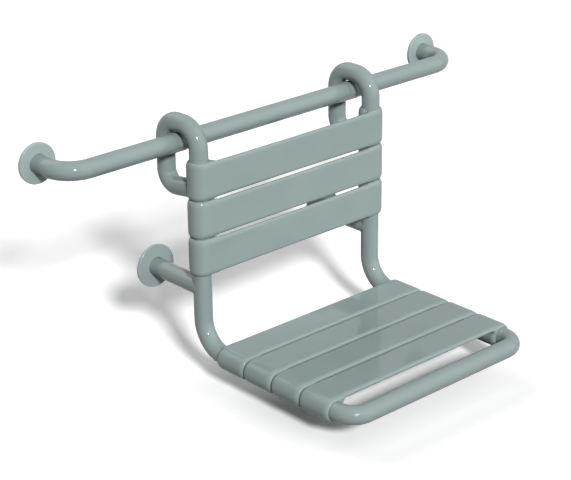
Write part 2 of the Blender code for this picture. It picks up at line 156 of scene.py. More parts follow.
class Slot(Enum):
    """Material slots of the record."""

    TUBE = "coated_tube"
    COVER = "cover"
    SLAT = "slat"
    STEEL = "steel"
    LINER = "liner"
    PAD = "pad"


def in_use(sockets: Sequence[Socket], name: str) -> Socket:
    """Socket that has the name and is in use."""
    return next(socket for socket in sockets if socket.enabled and socket.name == name)


class TreeBuilder:
    """Adds nodes to a node tree and wires them by the names of their sockets."""

    def __init__(self, tree: bpy.types.NodeTree) -> None:
        """Starts on the tree with no nodes in it."""
        self.tree = tree
        tree.nodes.clear()

    @classmethod
    def inside(cls, holder: Material | bpy.types.World) -> TreeBuilder:
        """Starts on the tree of a material or a world."""
        holder.use_nodes = True
        return cls(holder.node_tree)

    def feed(self, socket: Socket, value: Any) -> None:
        """Gives an input a value, or wires it to the socket that feeds it."""
        if isinstance(value, Socket):
            self.tree.links.new(value, socket)
        else:
            socket.default_value = value

    def add(self, kind: str, inputs: Mapping[str, Any] | None = None, **settings: Any) -> bpy.types.Node:
        """Adds one node.

        Args:
            kind: Blender's class name of the node.
            inputs: For each input by name, a value or the socket that feeds it.
            settings: Properties of the node itself.

        Returns:
            The new node.
        """
        node = self.tree.nodes.new(kind)
        for name, value in settings.items():
            setattr(node, name, value)
        for name, value in (inputs or {}).items():
            self.feed(in_use(node.inputs, name), value)
        return node

    def result(self, output: str, kind: str, inputs: Mapping[str, Any] | None = None, **settings: Any) -> Socket:
        """Adds one node, as add does, and returns its output of that name."""
        return in_use(self.add(kind, inputs, **settings).outputs, output)

    def maths(self, operation: str, *values: Any) -> Socket:
        """Adds one Math node, fed in order with values or sockets, and returns its result."""
        node = self.add("ShaderNodeMath", operation=operation)
        for socket, value in zip(node.inputs, values):
            self.feed(socket, value)
        return node.outputs["Value"]


class NodeGroup:
    """Node group with named inputs and outputs, built once and used in several places."""

    def __init__(self, name: str, kind: str, inputs: Mapping[str, str], outputs: Mapping[str, str]) -> None:
        """Makes the empty group.

        Args:
            name: Name of the group.
            kind: Shader or Geometry.
            inputs: Kind of each input by name.
            outputs: Kind of each output by name.
        """
        self.tree = bpy.data.node_groups.new(name, f"{kind}NodeTree")
        face = self.tree.interface
        self.keys = {}
        for label, value in inputs.items():
            self.keys[label] = face.new_socket(label, in_out="INPUT", socket_type=f"NodeSocket{value}").identifier
        for label, value in outputs.items():
            face.new_socket(label, in_out="OUTPUT", socket_type=f"NodeSocket{value}")
        self.builder = TreeBuilder(self.tree)
        self.inlet = self.builder.add("NodeGroupInput").outputs

    def close(self, results: Mapping[str, Socket]) -> None:
        """Wires the results to the group's outputs."""
        self.builder.add("NodeGroupOutput", results)

    def place(self, builder: TreeBuilder, inputs: Mapping[str, Any]) -> Sequence[Socket]:
        """Puts the group into a material with that material's own values and returns its outputs."""
        return builder.add("ShaderNodeGroup", inputs, node_tree=self.tree).outputs


def tone_drift_group() -> NodeGroup:
    """Slow change of tone and gloss over a surface, as a coating or a moulding has.

    Returns:
        Group that puts out the drifting colour and the drifting roughness.
    """
    inputs = {"Colour": "Color", "Second Colour": "Color", "Scale": "Float", "Roughness": "Float", "Drift": "Float"}
    group = NodeGroup("tone_drift", "Shader", inputs, {"Colour": "Color", "Roughness": "Float"})
    builder, inlet = group.builder, group.inlet
    place = builder.result("Object", "ShaderNodeTexCoord")
    cloud = {"Vector": place, "Scale": inlet["Scale"], "Detail": 1.5, "Roughness": 0.45}
    noise = builder.result("Fac", "ShaderNodeTexNoise", cloud)
    spread = {"Value": noise, "From Min": 0.15, "From Max": 0.85, "To Min": 0.0, "To Max": 1.0}
    share = builder.result("Result", "ShaderNodeMapRange", spread, interpolation_type="SMOOTHSTEP")
    tones = {"Factor": share, "A": inlet["Colour"], "B": inlet["Second Colour"]}
    colour = builder.result("Result", "ShaderNodeMix", tones, data_type="RGBA")
    roughness = builder.maths("MULTIPLY_ADD", share, inlet["Drift"], inlet["Roughness"])
    group.close({"Colour": colour, "Roughness": roughness})
    return group


def skin_relief_group() -> NodeGroup:
    """Fine relief of a skin: soft peel from a coating bath and the grain of a mould.

    Returns:
        Group that puts out the height of the relief.
    """
    inputs = {"Peel Scale": "Float", "Peel": "Float", "Grain Scale": "Float", "Grain": "Float"}
    group = NodeGroup("skin_relief", "Shader", inputs, {"Height": "Float"})
    builder, inlet = group.builder, group.inlet
    place = builder.result("Object", "ShaderNodeTexCoord")
    heights = []
    for name in ("Peel", "Grain"):
        cloud = {"Vector": place, "Scale": inlet[f"{name} Scale"], "Detail": 1.0}
        noise = builder.result("Fac", "ShaderNodeTexNoise", cloud)
        heights.append(builder.maths("MULTIPLY", noise, inlet[name]))
    group.close({"Height": builder.maths("ADD", *heights)})
    return group


@dataclass(frozen=True)
class Finish:
    """One finish: its two tones, its gloss and the relief of its skin.

    The roughness is its least value and its drift. Peel and grain are each a scale and a height. The clear coat
    is a weight and a roughness.
    """

    name: str
    tones: tuple[Colour, Colour]
    drift_scale: float
    roughness: Pair
    peel: Pair
    grain: Pair
    coat: Pair = (0.0, 0.1)
    specular: float = 0.5
    metallic: float = 0.0

    def material(self, drift: NodeGroup, relief: NodeGroup) -> Material:
        """Builds the finish as a material.

        Args:
            drift: Group for the change of tone and gloss.
            relief: Group for the relief of the skin.

        Returns:
            The new material.
        """
        material = bpy.data.materials.new(self.name)
        builder = TreeBuilder.inside(material)
        tone = drift.place(
            builder,
            {
                "Colour": (*self.tones[0], 1.0),
                "Second Colour": (*self.tones[1], 1.0),
                "Scale": self.drift_scale,
                "Roughness": self.roughness[0],
                "Drift": self.roughness[1],
            },
        )
        skin = relief.place(
            builder,
            {
                "Peel Scale": self.peel[0],
                "Peel": self.peel[1],
                "Grain Scale": self.grain[0],
                "Grain": self.grain[1],
            },
        )
        bump = {"Height": skin["Height"], "Strength": BUMP_STRENGTH, "Distance": BUMP_DISTANCE}
        shader = {
            "Base Color": tone["Colour"],
            "Roughness": tone["Roughness"],
            "Normal": builder.result("Normal", "ShaderNodeBump", bump),
            "Metallic": self.metallic,
            "Coat Weight": self.coat[0],
            "Coat Roughness": self.coat[1],
            "Specular IOR Level": self.specular,
        }
        surface = builder.result("BSDF", "ShaderNodeBsdfPrincipled", shader)
        builder.add("ShaderNodeOutputMaterial", {"Surface": surface})
        return material


COATING = Finish(
    "grey_green_coating",
    tones=((0.254, 0.320, 0.311), (0.275, 0.344, 0.337)),
    drift_scale=7.0,
    roughness=(0.28, 0.06),
    peel=(420.0, 0.03),
    grain=(2600.0, 0.006),
    coat=(0.6, 0.06),
    specular=0.0,
)
MOULDING = Finish(
    "grey_green_moulding",
    tones=((0.268, 0.338, 0.328), (0.290, 0.362, 0.356)),
    drift_scale=11.0,
    roughness=(0.27, 0.08),
    peel=(300.0, 0.03),
    grain=(1900.0, 0.010),
    coat=(0.5, 0.08),
    specular=0.0,
)
# Finish of the rose caps and strut feet. They are the same grey-green as the coating, but their tones are set
# lighter: painted light that makes up for the lamp light their faces by the wall get too little of.
COVER = Finish(
    "grey_green_cover_painted_light",
    tones=((0.322, 0.404, 0.393), (0.346, 0.431, 0.421)),
    drift_scale=9.0,
    roughness=(0.30, 0.06),
    peel=(360.0, 0.008),
    grain=(2400.0, 0.002),
    coat=(0.45, 0.04),
    specular=0.2,
)
ZINC = Finish(
    "zinc_plate",
    tones=((0.52, 0.53, 0.54), (0.66, 0.67, 0.69)),
    drift_scale=260.0,
    roughness=(0.28, 0.18),
    peel=(900.0, 0.05),
    grain=(5200.0, 0.03),
    metallic=1.0,
)
LINER = Finish(
    "grey_green_liner",
    tones=((0.226, 0.286, 0.277), (0.248, 0.312, 0.303)),
    drift_scale=90.0,
    roughness=(0.40, 0.12),
    peel=(700.0, 0.04),
    grain=(4200.0, 0.04),
)
RUBBER = Finish(
    "grey_rubber",
    tones=((0.040, 0.044, 0.044), (0.062, 0.066, 0.066)),
    drift_scale=120.0,
    roughness=(0.68, 0.16),
    peel=(800.0, 0.06),
    grain=(3000.0, 0.09),
)


class Recipe(NodeGroup):
    """Geometry Nodes tree that runs on a source mesh and leaves a plain mesh behind."""

    def __init__(self, name: str, inputs: Mapping[str, str]) -> None:
        """Makes the tree with its named inputs.

        Args:
            name: Name of the tree.
            inputs: Kind of each input by name, besides the geometry and the material.
        """
        sockets = {"Geometry": "Geometry", **inputs, "Material": "Material"}
        super().__init__(name, "Geometry", sockets, {"Geometry": "Geometry"})

    def put_out(self, geometry: Socket) -> None:
        """Makes the geometry real, gives it the material and puts it out."""
        real = self.builder.result("Geometry", "GeometryNodeRealizeInstances", {"Geometry": geometry})
        dress = {"Geometry": real, "Material": self.inlet["Material"]}
        self.close({"Geometry": self.builder.result("Geometry", "GeometryNodeSetMaterial", dress)})

    def run(self, source: Mesh, values: Mapping[str, Any]) -> Mesh:
        """Runs the tree.

        Args:
            source: Mesh that the tree starts from.
            values: Value of each named input.

        Returns:
            The result as a plain smooth mesh.
        """
        carrier = placed(self.tree.name, source)
        modifier = carrier.modifiers.new(self.tree.name, "NODES")
        modifier.node_group = self.tree
        for label, value in values.items():
            modifier[self.keys[label]] = value
        return smoothed(plain_mesh(carrier))


class TubeSweep(Recipe):
    """Round tube along a path whose points carry the bend radius of their corner."""

    BEND = "bend"

    def __init__(self) -> None:
        """Builds the tree."""
        super().__init__("tube_sweep", {"Radius": "Float", "Sides": "Int", "Bend Steps": "Int"})
        builder, inlet = self.builder, self.inlet
        route = builder.result("Curve", "GeometryNodeMeshToCurve", {"Mesh": inlet["Geometry"]})
        name = {"Name": self.BEND}
        bend = builder.result("Attribute", "GeometryNodeInputNamedAttribute", name, data_type="FLOAT")
        corners = {"Curve": route, "Count": inlet["Bend Steps"], "Radius": bend}
        bent = builder.result("Curve", "GeometryNodeFilletCurve", corners, mode="POLY")
        wire = builder.result("Mesh", "GeometryNodeCurveToMesh", {"Curve": bent})
        near = {"Geometry": wire, "Distance": PATH_MERGE_DISTANCE}
        clean = builder.result("Geometry", "GeometryNodeMergeByDistance", near)
        path = builder.result("Curve", "GeometryNodeMeshToCurve", {"Mesh": clean})
        circle = {"Resolution": inlet["Sides"], "Radius": inlet["Radius"]}
        ring = builder.result("Curve", "GeometryNodeCurvePrimitiveCircle", circle)
        skin = {"Curve": path, "Profile Curve": ring, "Fill Caps": True}
        self.put_out(builder.result("Mesh", "GeometryNodeCurveToMesh", skin))

    def tube(
        self,
        corners: Sequence[Corner],
        radius: float,
        material: Material,
        sides: int = 48,
        steps: int = 24,
        closed: bool = False,
    ) -> Mesh:
        """Sweeps one tube.

        Args:
            corners: Corners of the path, each with its bend radius, 0 where there is no bend.
            radius: Outer radius of the tube.
            material: Its finish.
            sides: Faces round the tube.
            steps: Faces along each bend.
            closed: Whether the path returns to its start.

        Returns:
            The tube's skin with closed ends.
        """
        last = len(corners) - 1
        edges = [(index, index + 1) for index in range(last)] + ([(last, 0)] if closed else [])
        path = bpy.data.meshes.new("path")
        path.from_pydata([corner[:3] for corner in corners], edges, [])
        bends = path.attributes.new(self.BEND, "FLOAT", "POINT").data
        bends.foreach_set("value", [corner[3] for corner in corners])
        return self.run(path, {"Radius": radius, "Sides": sides, "Bend Steps": steps, "Material": material})


class Repeat(Recipe):
    """Equal copies of the source, in a row or turned about an axis along Y."""

    def __init__(self) -> None:
        """Builds the tree."""
        super().__init__("repeat", {"Count": "Int", "Start": "Vector", "Step": "Vector", "Sweep": "Float"})
        builder, inlet = self.builder, self.inlet
        line = {"Count": inlet["Count"], "Start Location": inlet["Start"], "Offset": inlet["Step"]}
        spots = builder.result("Mesh", "GeometryNodeMeshLine", line, mode="OFFSET")
        share = builder.maths("DIVIDE", builder.result("Index", "GeometryNodeInputIndex"), inlet["Count"])
        angle = builder.maths("MULTIPLY", share, inlet["Sweep"])
        turn = builder.result("Vector", "ShaderNodeCombineXYZ", {"Y": angle})
        copies = {"Points": spots, "Instance": inlet["Geometry"], "Rotation": turn}
        self.put_out(builder.result("Instances", "GeometryNodeInstanceOnPoints", copies))

    def row(self, source: Mesh, count: int, step: Point, material: Material) -> Mesh:
        """Repeats the source count times, each a step further."""
        return self.run(source, {"Count": count, "Start": ORIGIN, "Step": step, "Sweep": 0.0, "Material": material})

    def ring(self, source: Mesh, count: int, centre: Point, material: Material) -> Mesh:
        """Repeats the source count times round the centre."""
        return self.run(
            source, {"Count": count, "Start": centre, "Step": ORIGIN, "Sweep": 2 * pi, "Material": material}
        )


@dataclass(frozen=True)
class Workshop:
    """Geometry Nodes trees and finishes that the sub-assemblies share."""

    sweep: TubeSweep
    repeat: Repeat
    coating: Material
    moulding: Material
    cover: Material
    zinc: Material
    liner: Material
    rubber: Material

    @classmethod
    def opened(cls) -> Workshop:
        """Builds every tree and every finish once."""
        groups = tone_drift_group(), skin_relief_group()
        finishes = (COATING, MOULDING, COVER, ZINC, LINER, RUBBER)
        return cls(TubeSweep(), Repeat(), *(finish.material(*groups) for finish in finishes))


def placed(name: str, data: bpy.types.ID) -> bpy.types.Object:
    """New object in the scene."""
    thing = bpy.data.objects.new(name, data)
    bpy.context.scene.collection.objects.link(thing)
    return thing


def plain_mesh(carrier: bpy.types.Object) -> Mesh:
    """Turns an object with live modifiers into a plain mesh and removes the object.

    Args:
        carrier: Object whose evaluated shape is wanted.

    Returns:
        The evaluated shape.
    """
    graph = bpy.context.evaluated_depsgraph_get()
    mesh = bpy.data.meshes.new_from_object(carrier.evaluated_get(graph))
    carrier.modifiers.clear()
    bpy.data.objects.remove(carrier)
    return mesh


def smoothed(mesh: Mesh) -> Mesh:
    """Shades a mesh smooth, with its real corners kept sharp."""
    mesh.shade_smooth()
    mesh.set_sharp_from_angle(angle=SHARP_ANGLE)
    return mesh


def as_mesh(shape: Solid, material: Material | None = None) -> Mesh:
    """Turns a bmesh into a smooth mesh with its faces outwards.

    Args:
        shape: The shape, which is used up.
        material: Its finish, where it has one already.

    Returns:
        The new mesh.
    """
    bmesh.ops.remove_doubles(shape, verts=shape.verts, dist=MERGE_DISTANCE)
    bmesh.ops.recalc_face_normals(shape, faces=shape.faces)
    mesh = bpy.data.meshes.new("shape")
    shape.to_mesh(mesh)
    shape.free()
    if material:
        mesh.materials.append(material)
    return smoothed(mesh)


def carved(mesh: Mesh, cutters: Sequence[Solid]) -> Mesh:
    """Takes cutters away from a mesh.

    Args:
        mesh: The mesh to carve.
        cutters: Closed shapes to take away, which are used up.

    Returns:
        The carved mesh.
    """
    carrier = placed("carved", mesh)
    tools = [placed("cutter", as_mesh(cutter)) for cutter in cutters]
    for tool in tools:
        modifier = carrier.modifiers.new("cut", "BOOLEAN")
        modifier.operation = "DIFFERENCE"
        modifier.solver = "EXACT"
        modifier.object = tool
    result = plain_mesh(carrier)
    for tool in tools:
        bpy.data.objects.remove(tool)
    return smoothed(result)


def bridge(shape: Solid, one: Sequence[Vert], two: Sequence[Vert]) -> None:
    """Fills the band between two closed loops of as many points."""
    for index in range(len(one)):
        shape.faces.new((one[index - 1], one[index], two[index], two[index - 1]))


def grid(shape: Solid, strips: Sequence[Sequence[Vert]]) -> None:
    """Fills the bands between strips of points that lie side by side."""
    for one, two in zip(strips, strips[1:]):
        for low in range(len(one) - 1):
            shape.faces.new((one[low], two[low], two[low + 1], one[low + 1]))


def eased(corners: Sequence[Point], closed: bool = False, steps: int = 6) -> list[Pair]:
    """Rounds the corners of a profile and sets a support point beside each rounding.

    Args:
        corners: Radius, height and rounding of each corner.
        closed: Whether the last corner joins the first.
        steps: Faces in each rounding.

    Returns:
        The rounded profile as (radius, height) pairs.
    """
    profile: list[Pair] = []
    count = len(corners)
    for index, (radius, height, rounding) in enumerate(corners):
        here = Vector((radius, height))
        if rounding == 0 or (not closed and index in (0, count - 1)):
            profile.append((radius, height))
            continue
        before = (Vector(corners[index - 1][:2]) - here).normalized()
        after = (Vector(corners[(index + 1) % count][:2]) - here).normalized()
        half_angle = before.angle(after) / 2
        reach = rounding / tan(half_angle)
        middle = here + (before + after).normalized() * rounding / sin(half_angle)
        start = (here + before * reach - middle).normalized()
        end = (here + after * reach - middle).normalized()
        profile.append(tuple(here + before * reach * (1 + EASE_SUPPORT)))
        for step in range(steps + 1):
            profile.append(tuple(middle + start.slerp(end, step / steps) * rounding))
        profile.append(tuple(here + after * reach * (1 + EASE_SUPPORT)))
    return profile


def turned(profile: Sequence[Pair], steps: int = ROUND_STEPS, ring: bool = False) -> Solid:
    """Turns a profile about Z.

    Args:
        profile: (radius, height) pairs. Unless it is a ring, it starts and ends on the axis.
        steps: Faces round the shape.
        ring: Whether the profile is a closed loop away from the axis.

    Returns:
        The turned solid.
    """
    shape = bmesh.new()
    loops = []
    for radius, height in profile:
        angles = [0.0] if radius == 0 else [2 * pi * step / steps for step in range(steps)]
        loops.append([shape.verts.new((radius * cos(angle), radius * sin(angle), height)) for angle in angles])
    pairs = list(zip(loops, loops[1:])) + ([(loops[-1], loops[0])] if ring else [])
    for first, second in pairs:
        for index in range(max(len(first), len(second))):
            corners = []
            for loop, place in ((first, index - 1), (first, index), (second, index), (second, index - 1)):
                corner = loop[place % len(loop)]
                if corner not in corners:
                    corners.append(corner)
            if len(corners) > 2:
                shape.faces.new(corners)
    return shape


def turned_mesh(profile: Sequence[Pair], place: Matrix, material: Material, ring: bool = False) -> Mesh:
    """Turned piece in its place, with its finish."""
    shape = turned(profile, ring=ring)
    shape.transform(place)
    return as_mesh(shape, material)


def rod(radius: float, top: float, bottom: float, steps: int = CUTTER_STEPS) -> Solid:
    """Plain round cutter along Z."""
    return turned([(0.0, top), (radius, top), (radius, bottom), (0.0, bottom)], steps)


def facing_room(x: float, y: float, z: float) -> Matrix:
    """Place of a turned piece whose axis points from the wall to the room."""
    return Matrix.Translation((x, y, z)) @ Matrix.Rotation(pi / 2, 4, "X")


def facing_back(x: float) -> Matrix:
    """Place, at x from a slat's middle, of a turned piece whose axis points out of the slat's back."""
    return Matrix.Translation((x, 0.0, 0.0)) @ Matrix.Rotation(-pi / 2, 4, "X")


def corners_of(node: str) -> tuple[Vector, Vector]:
    """Lowest and highest corner of a CAD node at rest."""
    low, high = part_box(node)
    return Vector(low), Vector(high)


def add_piece(name: str, mesh: Mesh, body: Body, nodes: Sequence[str]) -> None:
    """Makes a mesh a piece of the object.

    Args:
        name: Name of the piece.
        mesh: Its finished mesh, in place.
        body: Body that it rides on.
        nodes: CAD nodes that it stands for.
    """
    mesh.name = name
    piece = placed(name, mesh)
    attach(piece, body.value)
    if nodes:
        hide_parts(*nodes)
    LOG.info("%s: %d faces, rides on %s, stands for %s", name, len(mesh.polygons), body.value, ", ".join(nodes))


def cross_recess(place: Matrix, top: float, head: float) -> Solid:
    """Cross-shaped cutter for the driver in a screw's head.

    Args:
        place: Place of the screw, whose axis is Z.
        top: Height of the head's top.
        head: Radius of the head.

    Returns:
        The cutter.
    """
    shape = bmesh.new()
    wide, narrow, depth = RECESS_WIDTH * head, RECESS_ARM * head, RECESS_DEPTH * head
    outline = [(wide, -narrow), (wide, narrow), (narrow, narrow)]
    loops = []
    for height, scale in zip((top - depth, top + depth), RECESS_TAPER):
        loop = []
        for quarter in range(4):
            turn = Matrix.Rotation(quarter * pi / 2, 4, "Z")
            for x, y in outline:
                loop.append(shape.verts.new(turn @ Vector((x * scale if abs(x) > narrow else x, y, height))))
        loops.append(loop)
    bridge(shape, *loops)
    for loop in loops:
        shape.faces.new(loop)
    shape.transform(place)
    return shape


@dataclass(frozen=True)
class RoseFace:
    """Low face shared by the rail's cover roses and the feet of the struts."""

    radius: float
    height: float
    bore: float
    fall: float = 0.066
    rim_rounding: float = 0.0018
    back_rounding: float = 0.0004
    lip: float = 0.0006

    def outline(self, back: float) -> list[Point]:
        """Corners from the bore over the evenly falling face to the back's edge, as radius, height and rounding.

        Args:
            back: Height of the back's edge.

        Returns:
            The corners.
        """
        rim_height = self.height - self.fall * (self.radius - self.bore)
        return [
            (self.bore, self.height - self.lip, 0.0),
            (self.bore + self.lip, self.height, self.lip / 2),
            (self.radius, rim_height, self.rim_rounding),
            (self.radius, back, self.back_rounding),
        ]


@dataclass(frozen=True)
class WallRail:
    """Bent grab rail with its wall plates, screws and cover roses."""

    radius: float
    half_span: float
    axis_y: float
    wall_end: float
    plate_radius: float
    plate_thickness: float
    stub_end: float
    screw_circle: float
    screw_head: float
    screw_top: float
    rose: RoseFace
    bend: float = 0.048
    stub_clearance: float = 0.003
    stub_edge: float = 0.0010
    stub_root: float = 0.0006
    plate_edge: float = 0.0008
    plate_back_edge: float = 0.0003
    screw_shank: float = 0.0024
    screw_rim: float = 0.0001
    screw_count: int = 3

    @classmethod
    def from_frame(cls) -> WallRail:
        """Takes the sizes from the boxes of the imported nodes."""
        low, high = corners_of("rail_tube")
        plate_low, plate_high = corners_of("right_wall_plate")
        screw_low, screw_high = corners_of("right_wall_screw_1")
        rose_low, rose_high = corners_of("right_rail_rose")
        radius = high.z
        return cls(
            radius=radius,
            half_span=high.x - radius,
            axis_y=low.y + radius,
            wall_end=high.y,
            plate_radius=plate_high.z,
            plate_thickness=-high.y - FIT_GAP,
            stub_end=-plate_low.y,
            screw_circle=(screw_low.z + screw_high.z) / 2,
            screw_head=(screw_high.x - screw_low.x) / 2,
            screw_top=-screw_low.y,
            rose=RoseFace(radius=rose_high.z, height=-rose_low.y, bore=radius + FIT_GAP),
        )

    def tube_mesh(self, shop: Workshop) -> Mesh:
        """Rail tube with both ends bent back to the wall."""
        half, axis, end = self.half_span, self.axis_y, self.wall_end
        corners = [
            (-half, end, 0.0, 0.0),
            (-half, axis, 0.0, self.bend),
            (half, axis, 0.0, self.bend),
            (half, end, 0.0, 0.0),
        ]
        return shop.sweep.tube(corners, self.radius, shop.coating)

    def rose_mesh(self, side: Side, shop: Workshop) -> Mesh:
        """Low cover rose, hollow behind for the plate."""
        hollow, ceiling = self.plate_radius + FIT_GAP, self.plate_thickness + FIT_GAP
        profile = self.rose.outline(0.0)
        profile += [(hollow, 0.0, 0.0), (hollow, ceiling, 0.0), (self.rose.bore, ceiling, 0.0)]
        place = facing_room(side.value * self.half_span, 0.0, 0.0)
        # The rose takes the cover finish, whose lighter tones are painted light for its face.
        return turned_mesh(eased(profile, closed=True), place, shop.cover, ring=True)

    def screw_shape(self, spread: float, bottom: float, top: float) -> Solid:
        """Countersunk wall screw at the top of the plate's circle, or its hole, widened by spread."""
        head, shank = self.screw_head + spread, self.screw_shank + spread
        neck = self.screw_top - (self.screw_head - self.screw_shank)
        profile = [(0.0, top), (head, top), (head, self.screw_top), (shank, neck), (shank, bottom), (0.0, bottom)]
        shape = turned(profile, SCREW_STEPS)
        shape.transform(facing_room(0.0, 0.0, self.screw_circle))
        return shape

    def screw_meshes(self, side: Side, shop: Workshop) -> Mesh:
        """Screws of one plate, with cross recesses."""
        recess = cross_recess(facing_room(0.0, 0.0, self.screw_circle), self.screw_top, self.screw_head)
        blank = as_mesh(self.screw_shape(0.0, 0.0, self.screw_top + self.screw_rim), shop.zinc)
        centre = (side.value * self.half_span, 0.0, 0.0)
        return shop.repeat.ring(carved(blank, [recess]), self.screw_count, centre, shop.zinc)

    def plate_mesh(self, side: Side, shop: Workshop) -> Mesh:
        """Wall plate with a stub in the tube's end and countersunk holes."""
        stub = self.radius - self.stub_clearance
        outline = [
            (0.0, self.stub_end, 0.0),
            (stub, self.stub_end, self.stub_edge),
            (stub, self.plate_thickness, self.stub_root),
            (self.plate_radius, self.plate_thickness, self.plate_edge),
            (self.plate_radius, 0.0, self.plate_back_edge),
            (0.0, 0.0, 0.0),
        ]
        blank = turned_mesh(eased(outline, steps=4), facing_room(*ORIGIN), shop.zinc)
        hole = as_mesh(self.screw_shape(FIT_GAP, -self.plate_thickness, 2 * self.plate_thickness))
        cutter = bmesh.new()
        cutter.from_mesh(shop.repeat.ring(hole, self.screw_count, ORIGIN, shop.zinc))
        mesh = carved(blank, [cutter])
        mesh.transform(Matrix.Translation((side.value * self.half_span, 0.0, 0.0)))
        return mesh

    def build(self, shop: Workshop) -> None:
        """Builds the rail's pieces.

        Args:
            shop: Trees and finishes to use.
        """
        add_piece("grab_rail", self.tube_mesh(shop), Body.RAIL, ["rail_tube"])
        for side in Side:
            plate = self.plate_mesh(side, shop)
            add_piece(side.named("fixing_plate"), plate, Body.RAIL, [side.named("wall_plate")])
            screws = self.screw_meshes(side, shop)
            nodes = [side.named(f"wall_screw_{index + 1}") for index in range(self.screw_count)]
            add_piece(side.named("fixing_screws"), screws, Body.RAIL, nodes)
            rose = self.rose_mesh(side, shop)
            rose_body = Body.LEFT_ROSE if side is Side.LEFT else Body.RIGHT_ROSE
            add_piece(side.named("rose_cap"), rose, rose_body, [side.named("rail_rose")])


@dataclass(frozen=True)
class EyeLiners:
    """Split liners that ride on the rail inside the two eyes."""

    inner: float
    wall: float
    length: float
    axis_y: float
    opening: float = radians(70)
    opening_turn: float = radians(-135)
    steps: int = 80
    edge: float = 0.0004

    @classmethod
    def from_frame(cls, rail: WallRail) -> EyeLiners:
        """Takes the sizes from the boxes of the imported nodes."""
        low, high = corners_of("left_hook_glide")
        return cls(rail.radius + FIT_GAP, high.z - rail.radius - FIT_GAP, high.x - low.x, rail.axis_y)

    def mesh(self, middle_x: float, shop: Workshop) -> Mesh:
        """One liner about the rail at a place along it."""
        outer, end = self.inner + self.wall, self.length / 2
        corners = [(self.inner, -end, 0.0), (outer, -end, self.edge)]
        corners += [(outer, end, self.edge), (self.inner, end, 0.0)]
        section = eased(corners, closed=True, steps=3)
        shape = bmesh.new()
        loops = []
        for step in range(self.steps + 1):
            angle = self.opening_turn + self.opening / 2 + (2 * pi - self.opening) * step / self.steps
            places = [(along, radius * cos(angle), radius * sin(angle)) for radius, along in section]
            loops.append([shape.verts.new(place) for place in places])
        for first, second in zip(loops, loops[1:]):
            bridge(shape, first, second)
        for loop in (loops[0], loops[-1]):
            shape.faces.new(loop)
        shape.transform(Matrix.Translation((middle_x, self.axis_y, 0.0)))
        return as_mesh(shape, shop.liner)

    def build(self, shop: Workshop) -> None:
        """Builds both liners.

        Args:
            shop: Trees and finishes to use.
        """
        for side in Side:
            node = side.named("hook_glide")
            low, high = corners_of(node)
            mesh = self.mesh((low.x + high.x) / 2, shop)
            add_piece(side.named("eye_liner"), mesh, Body.GLIDES, [node])


@dataclass(frozen=True)
class SeatFrame:
    """Bent tube frame of the seat: eyes, side tubes and the front tube."""

    radius: float
    tube_x: Mapping[Side, float]
    back_y: float
    rear_y: float
    crown_z: float
    rear_bend: float
    joint_z: float
    seat_z: float
    front_joint_y: float
    front_y: float
    crown_bend: float = 0.038
    return_bend: float = 0.026
    corner_z: float = -0.0855
    return_z: float = -0.073
    seat_bend: float = 0.0555
    front_bend: float = 0.034
    front_steps: int = 20
    bite: float = 0.0004

    @classmethod
    def from_frame(cls, rail: WallRail) -> SeatFrame:
        """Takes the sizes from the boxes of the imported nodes."""
        radius = rail.radius
        low, high = corners_of("left_hook")
        side_low, side_high = corners_of("left_side_tube")
        tube_x = {}
        for side in Side:
            hook_low, hook_high = corners_of(side.named("hook"))
            tube_x[side] = (hook_low.x + hook_high.x) / 2
        return cls(
            radius=radius,
            tube_x=tube_x,
            back_y=low.y + radius,
            rear_y=high.y - radius,
            crown_z=high.z - radius,
            rear_bend=high.y - radius - rail.axis_y,
            joint_z=side_high.z,
            seat_z=side_low.z + radius,
            front_joint_y=side_low.y,
            front_y=corners_of("front_tube")[0].y + radius,
        )

    def saddle(self, x: float, z: float) -> Solid:
        """Cutter that copes a tube's end onto the upright at x, a little into its skin."""
        shape = rod(self.radius - self.bite, 2 * self.radius, -2 * self.radius)
        shape.transform(Matrix.Translation((x, self.back_y, z)))
        return shape

    def eye_mesh(self, x: float, shop: Workshop) -> Mesh:
        """Tube that goes up, over and behind the rail and returns to the upright."""
        corners = [
            (x, self.back_y, self.joint_z, 0.0),
            (x, self.back_y, self.crown_z, self.crown_bend),
            (x, self.rear_y, self.crown_z, self.rear_bend),
            (x, self.rear_y, self.corner_z, self.return_bend),
            (x, self.back_y, self.return_z, 0.0),
        ]
        return carved(shop.sweep.tube(corners, self.radius, shop.coating), [self.saddle(x, self.return_z)])

    def side_mesh(self, x: float, shop: Workshop) -> Mesh:
        """Upright, lower bend and seat side in one tube."""
        corners = [
            (x, self.back_y, self.joint_z, 0.0),
            (x, self.back_y, self.seat_z, self.seat_bend),
            (x, self.front_joint_y, self.seat_z, 0.0),
        ]
        return shop.sweep.tube(corners, self.radius, shop.coating)

    def front_mesh(self, shop: Workshop) -> Mesh:
        """Cross tube with two rounded corners."""
        left, right = self.tube_x[Side.LEFT], self.tube_x[Side.RIGHT]
        corners = [
            (left, self.front_joint_y, self.seat_z, 0.0),
            (left, self.front_y, self.seat_z, self.front_bend),
            (right, self.front_y, self.seat_z, self.front_bend),
            (right, self.front_joint_y, self.seat_z, 0.0),
        ]
        return shop.sweep.tube(corners, self.radius, shop.coating, steps=self.front_steps)

    def build(self, shop: Workshop, nodes: Mapping[str, bpy.types.Object]) -> None:
        """Builds the frame's pieces and dresses the hidden connectors.

        Args:
            shop: Trees and finishes to use.
            nodes: Objects of the CAD nodes.
        """
        for side in Side:
            eye = self.eye_mesh(self.tube_x[side], shop)
            add_piece(side.named("eye_tube"), eye, Body.SEAT, [side.named("hook")])
            tube = self.side_mesh(self.tube_x[side], shop)
            add_piece(side.named("upright_and_side"), tube, Body.SEAT, [side.named("side_tube")])
            for joint in ("hook", "front"):
                for holder in nodes[side.named(f"{joint}_spigot")].material_slots:
                    holder.material = shop.zinc
        add_piece("front_bow", self.front_mesh(shop), Body.SEAT, ["front_tube"])


